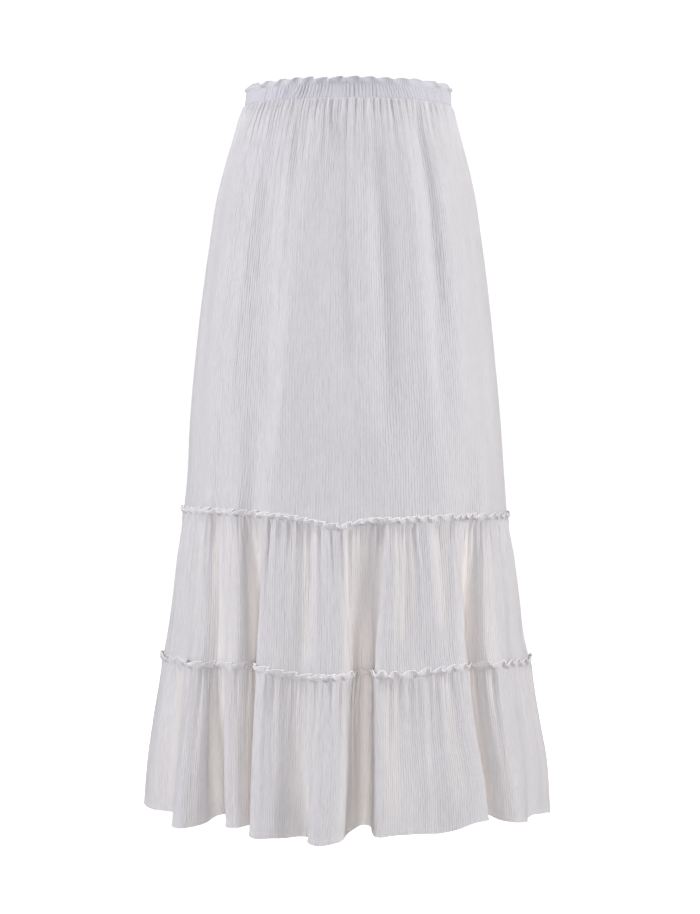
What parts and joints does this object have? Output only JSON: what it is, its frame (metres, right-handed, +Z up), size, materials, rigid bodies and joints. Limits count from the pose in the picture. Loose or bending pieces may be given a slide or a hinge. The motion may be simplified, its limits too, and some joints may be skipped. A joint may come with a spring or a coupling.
{
  "type": "tiered ruffle skirt",
  "caption": "Long tiered skirt in its worn shape, with an elastic waist casing, gathered tiers and frilled seam headings.",
  "frame": {"origin": "centre of the waist opening, halfway up the elastic casing, where the wearer's waist holds the skirt", "axes": "+Z up out of the waist opening along the body; the front faces -Y and +X is towards the right of someone looking at the front"},
  "size_m": [0.4832, 0.3956, 0.8573],
  "materials": {
    "crinkle_cloth": "matt crinkled",
    "casing_cloth": "matt ribbed"
  },
  "bodies": {
    "root": {"waist_frill_front": "crinkle_cloth", "casing_front": "casing_cloth", "top_tier_front": "crinkle_cloth", "upper_frill_front": "crinkle_cloth", "middle_tier_front": "crinkle_cloth", "lower_frill_front": "crinkle_cloth", "bottom_tier_front": "crinkle_cloth", "waist_frill_back": "crinkle_cloth", "casing_back": "casing_cloth", "top_tier_back": "crinkle_cloth", "upper_frill_back": "crinkle_cloth", "middle_tier_back": "crinkle_cloth", "lower_frill_back": "crinkle_cloth", "bottom_tier_back": "crinkle_cloth"}
  },
  "joints": []
}
